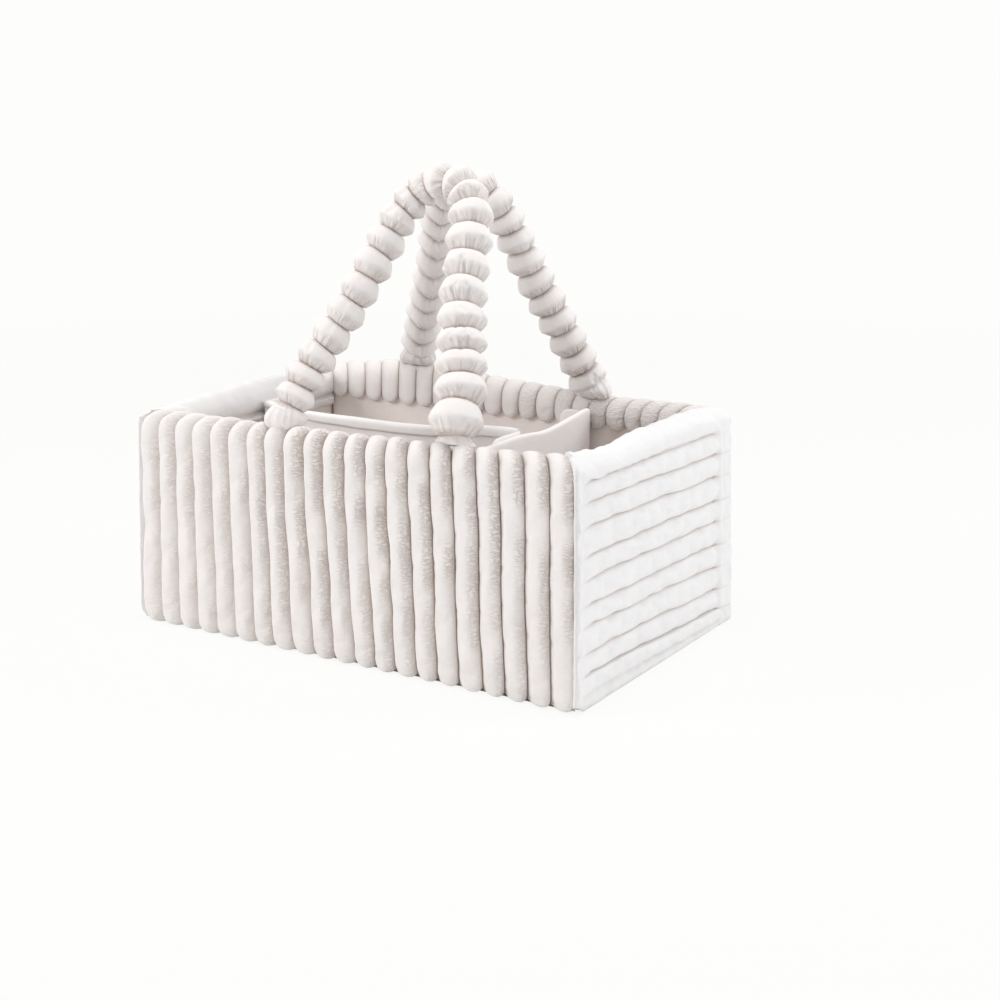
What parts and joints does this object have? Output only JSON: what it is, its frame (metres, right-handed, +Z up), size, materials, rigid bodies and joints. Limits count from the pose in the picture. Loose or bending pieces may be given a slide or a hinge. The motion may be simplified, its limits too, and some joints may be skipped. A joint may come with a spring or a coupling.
{
  "type": "diaper caddy",
  "caption": "Open rectangular nursery basket in ribbed plush over a stiff lined body, with movable padded dividers and beaded arched handles that fold outwards.",
  "frame": {"origin": "middle of the underside, on the surface that the caddy stands on", "axes": "+X along the long side, with the cross divider towards +X; +Y from the front wall to the back wall; +Z up"},
  "size_m": [0.3988, 0.249, 0.3612],
  "materials": {
    "plush": "soft off-white pile",
    "lining": "smooth beige-pink cloth",
    "divider_cloth": "smooth pale cloth",
    "hem": "white binding",
    "tape": "hook and loop tape",
    "wadding": "loose fibre wadding",
    "board": "stiff grey-brown board"
  },
  "bodies": {
    "caddy": {"front_plush_cover": "plush", "back_plush_cover": "plush", "left_plush_cover": "plush", "right_plush_cover": "plush", "front_left_corner_binding": "plush", "front_right_corner_binding": "plush", "back_left_corner_binding": "plush", "back_right_corner_binding": "plush", "front_wadding": "wadding", "back_wadding": "wadding", "left_wadding": "wadding", "right_wadding": "wadding", "front_board": "board", "back_board": "board", "left_board": "board", "right_board": "board", "front_lining": "lining", "back_lining": "lining", "left_lining": "lining", "right_lining": "lining", "base_cloth": "plush", "base_board": "board", "base_foam": "wadding", "base_lining": "lining", "front_left_handle_tab": "plush", "front_right_handle_tab": "plush", "back_left_handle_tab": "plush", "back_right_handle_tab": "plush"},
    "front_handle": {"front_handle_sleeve": "plush", "front_handle_core": "wadding", "front_left_handle_foot": "plush", "front_right_handle_foot": "plush"},
    "back_handle": {"back_handle_sleeve": "plush", "back_handle_core": "wadding", "back_left_handle_foot": "plush", "back_right_handle_foot": "plush"},
    "long_divider": {"long_divider_cover": "divider_cloth", "long_divider_board": "board", "long_divider_hem": "hem", "left_flap_hook_patch": "tape", "right_flap_hook_patch": "tape"},
    "cross_divider": {"cross_divider_cover": "divider_cloth", "cross_divider_board": "board", "cross_divider_loop_patch": "tape", "front_tab_hook_patch": "tape", "back_tab_hook_patch": "tape"}
  },
  "joints": [
    {"name": "front_handle_fold", "type": "hinge", "parent": "caddy", "child": "front_handle", "pos_m": [0.015, -0.1246, 0.18], "axis": [1, 0, 0], "range_deg": [0, 168]},
    {"name": "back_handle_fold", "type": "hinge", "parent": "caddy", "child": "back_handle", "pos_m": [-0.004, 0.1246, 0.188], "axis": [-1, 0, 0], "range_deg": [0, 168]},
    {"name": "long_divider_lift", "type": "slide", "parent": "caddy", "child": "long_divider", "axis": [0, 0, 1], "range_m": [0, 0.1]},
    {"name": "cross_divider_shift", "type": "slide", "parent": "caddy", "child": "cross_divider", "axis": [1, 0, 0], "range_m": [0, 0.07]}
  ]
}
